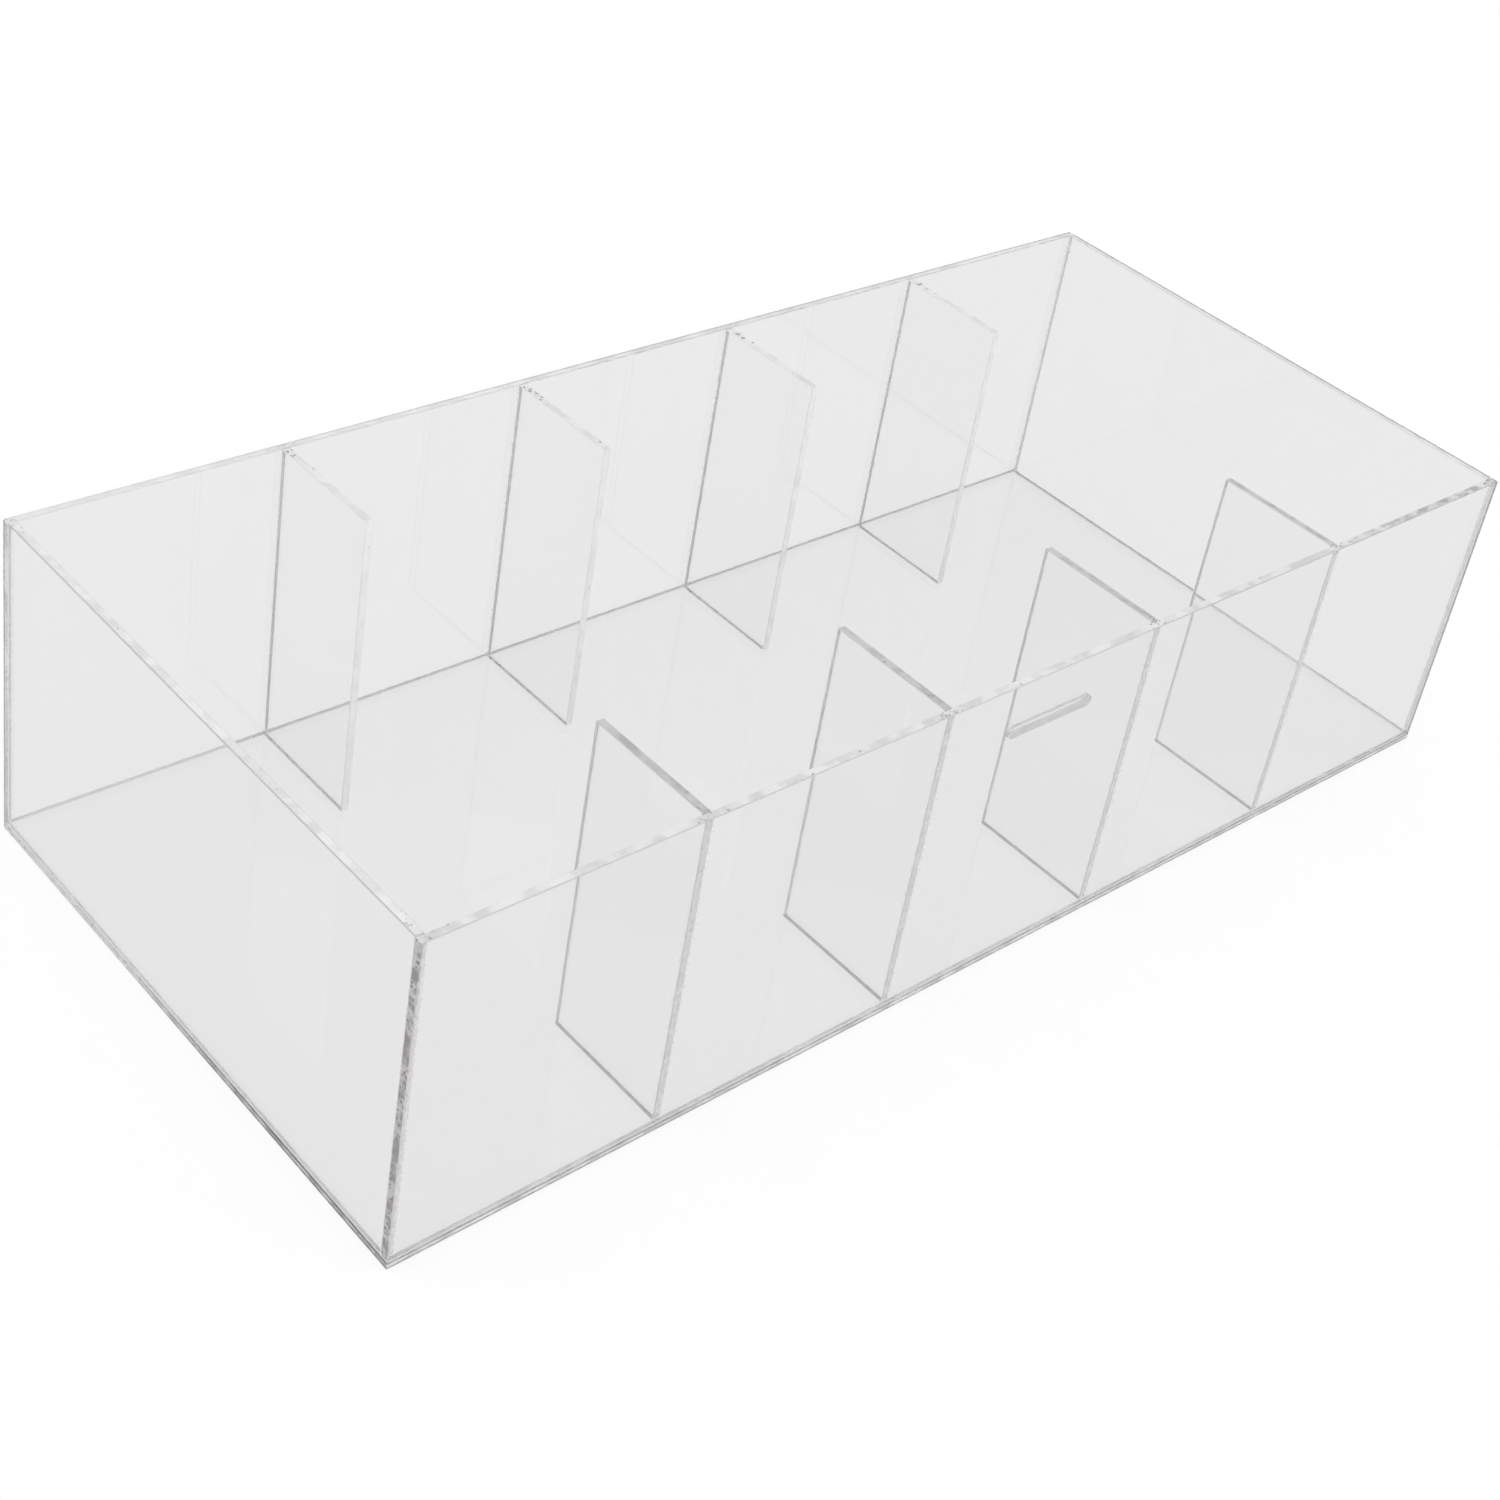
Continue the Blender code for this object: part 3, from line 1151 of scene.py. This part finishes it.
@dataclass
class DividerRow:
    """The four short dividers that reach in from one long wall."""

    works: CementWorks
    row: str
    wall_side: Side
    acrylic: SheetAcrylic
    cement: CementFinish

    def build(self) -> None:
        """Dresses the row's dividers and lays their cement."""
        nodes = row_nodes(self.row)
        material = self.acrylic.material(f"{self.row}_divider_acrylic", nodes[0], (self.wall_side,))
        seams = self.cement.material(f"{self.row}_divider_cement")
        for node in nodes:
            dress(node, material)
            self.works.lay(node, (f"{self.row}_wall", FLOOR_PANEL), seams)


@dataclass(frozen=True)
class PhotoCamera:
    """The camera as the photograph was taken: in front of the tray's left end, above it and rolled."""

    place: tuple[float, float, float] = (-0.43365, -0.38884, 0.44282)
    aim: tuple[float, float, float] = (0.10490, 0.10435, 0.0)
    roll_deg: float = 10.801
    lens_mm: float = 61.166
    sensor_mm: float = 36.0
    axis_px: tuple[float, float] = (801.6, 510.6)

    def build(self) -> None:
        """Adds the camera and makes it the scene's."""
        deselect_all()
        place = Vector(self.place)
        turn = (Vector(self.aim) - place).to_track_quat("-Z", "Y")
        turn = turn @ Quaternion((0, 0, 1), math.radians(self.roll_deg))
        bpy.ops.object.camera_add(location=place, rotation=turn.to_euler())
        camera = bpy.context.object
        camera.name = "photo_camera"
        camera.data.lens = self.lens_mm
        camera.data.sensor_width = self.sensor_mm
        half = PHOTO_SIDE_PX / 2
        camera.data.shift_x = (half - self.axis_px[0]) / PHOTO_SIDE_PX
        camera.data.shift_y = (self.axis_px[1] - half) / PHOTO_SIDE_PX
        bpy.context.scene.camera = camera


@dataclass(frozen=True)
class SoftLamp:
    """A large square lamp that looks at the tray."""

    name: str
    place: tuple[float, float, float]
    size: float
    watts: float

    def build(self) -> None:
        """Adds the lamp."""
        deselect_all()
        turn = (-Vector(self.place)).to_track_quat("-Z", "Y").to_euler()
        bpy.ops.object.light_add(type="AREA", location=self.place, rotation=turn)
        lamp = bpy.context.object
        lamp.name = self.name
        lamp.data.shape = "SQUARE"
        lamp.data.size = self.size
        lamp.data.energy = self.watts


@dataclass(frozen=True)
class Studio:
    """A pale floor under soft light, a shade darker in or through the acrylic than in the open."""

    floor_side: float = 30
    floor_drop: float = 0.0002
    floor_tints: tuple[Colour, Colour] = ((0.93, 0.93, 0.93), (0.94, 0.94, 0.94))
    floor_roughness: float = 0.5
    grain_per_metre: float = 60
    grain_span: Span = (0.3, 0.7)
    open_share: float = 0.75
    through_share: float = 0.92
    open_white: float = 1.06
    through_white: float = 0.855
    overhead_grey: Colour = (0.78, 0.78, 0.785)
    horizon_height: float = 0.05
    overhead_height: float = 0.6
    sky_strength: float = 0.85
    bounces: int = 48
    lamps: tuple[SoftLamp, ...] = (
        SoftLamp("key_lamp", place=(-0.6, 0.5, 1.3), size=1.1, watts=3.5),
        SoftLamp("fill_lamp", place=(0.9, -0.9, 1.1), size=1.1, watts=2),
        SoftLamp("front_lamp", place=(-0.5, -1.6, 0.5), size=1.1, watts=8),
    )

    def build(self) -> None:
        """Adds the floor, the world and the lamps, and sets how the light is followed."""
        scene = bpy.context.scene
        scene.view_settings.view_transform = "Standard"
        scene.cycles.max_bounces = self.bounces
        scene.cycles.glossy_bounces = self.bounces
        scene.cycles.transmission_bounces = self.bounces
        scene.cycles.transparent_max_bounces = self.bounces
        self._add_floor()
        self._add_sky()
        for lamp in self.lamps:
            lamp.build()

    def _add_floor(self) -> None:
        """Adds the floor, white where it is seen and with the tray's soft shadow on it."""
        deselect_all()
        bpy.ops.mesh.primitive_plane_add(size=self.floor_side, location=(0, 0, -self.floor_drop))
        floor = bpy.context.object
        floor.name = "studio_floor"
        tree = ShaderTree.of_material("studio_floor")
        grain = tree.spread(tree.noise(self.grain_per_metre, detail=3), *self.grain_span)
        colour = tree.mixed_colour(grain, *self.floor_tints)
        matt = {"Color": colour, "Roughness": self.floor_roughness}
        lit = tree.node("ShaderNodeBsdfDiffuse", {}, matt).outputs[0]
        rays = tree.node("ShaderNodeLightPath").outputs
        open_ray = Channel(tree, rays["Is Camera Ray"])
        bent_ray = Channel(tree, rays["Is Glossy Ray"]) + Channel(tree, rays["Is Transmission Ray"])
        bent_ray = bent_ray * (1 - open_ray)
        strength = self.open_white * open_ray + self.through_white * (1 - open_ray)
        white = tree.node("ShaderNodeEmission", {}, {"Strength": strength})
        share = self.open_share * open_ray + self.through_share * tree.math("MINIMUM", bent_ray, 1)
        floor.data.materials.append(tree.finish(tree.layered(share, lit, white.outputs[0])))

    def _add_sky(self) -> None:
        """Adds a sky, white at the horizon and grey overhead, that looks plain white to the camera."""
        tree = ShaderTree(bpy.data.worlds.new("studio_sky"))
        height = tree.parts(tree.coordinates.outputs["Generated"])[Axis.Z]
        stops = [(self.horizon_height, WHITE), (self.overhead_height, self.overhead_grey)]
        shade = tree.node("ShaderNodeValToRGB", {"stops": stops}, {"Fac": height}).outputs["Color"]
        lighting = {"Color": shade, "Strength": self.sky_strength}
        sky = tree.node("ShaderNodeBackground", {}, lighting).outputs[0]
        white = tree.node("ShaderNodeBackground", {}, {"Color": WHITE, "Strength": 1}).outputs[0]
        seen = Channel(tree, tree.node("ShaderNodeLightPath").outputs["Is Camera Ray"])
        bpy.context.scene.world = tree.finish(tree.layered(seen, sky, white))


def main() -> None:
    """Dresses the tray, lays its cement and sets up the camera and the studio."""
    logging.basicConfig(level=logging.INFO, format="%(name)s: %(message)s")
    PhotoCamera().build()
    works = CementWorks()
    Base().build()
    Surround(works).build()
    DividerRow(works, "rear", Side.REAR, FAINT_ACRYLIC, CLEAR_CEMENT).build()
    DividerRow(works, "front", Side.FRONT, SHADED_DIVIDER_ACRYLIC, SHADED_DIVIDER_CEMENT).build()
    works.clear_patterns()
    Studio().build()


if __name__ == "__main__":
    main()
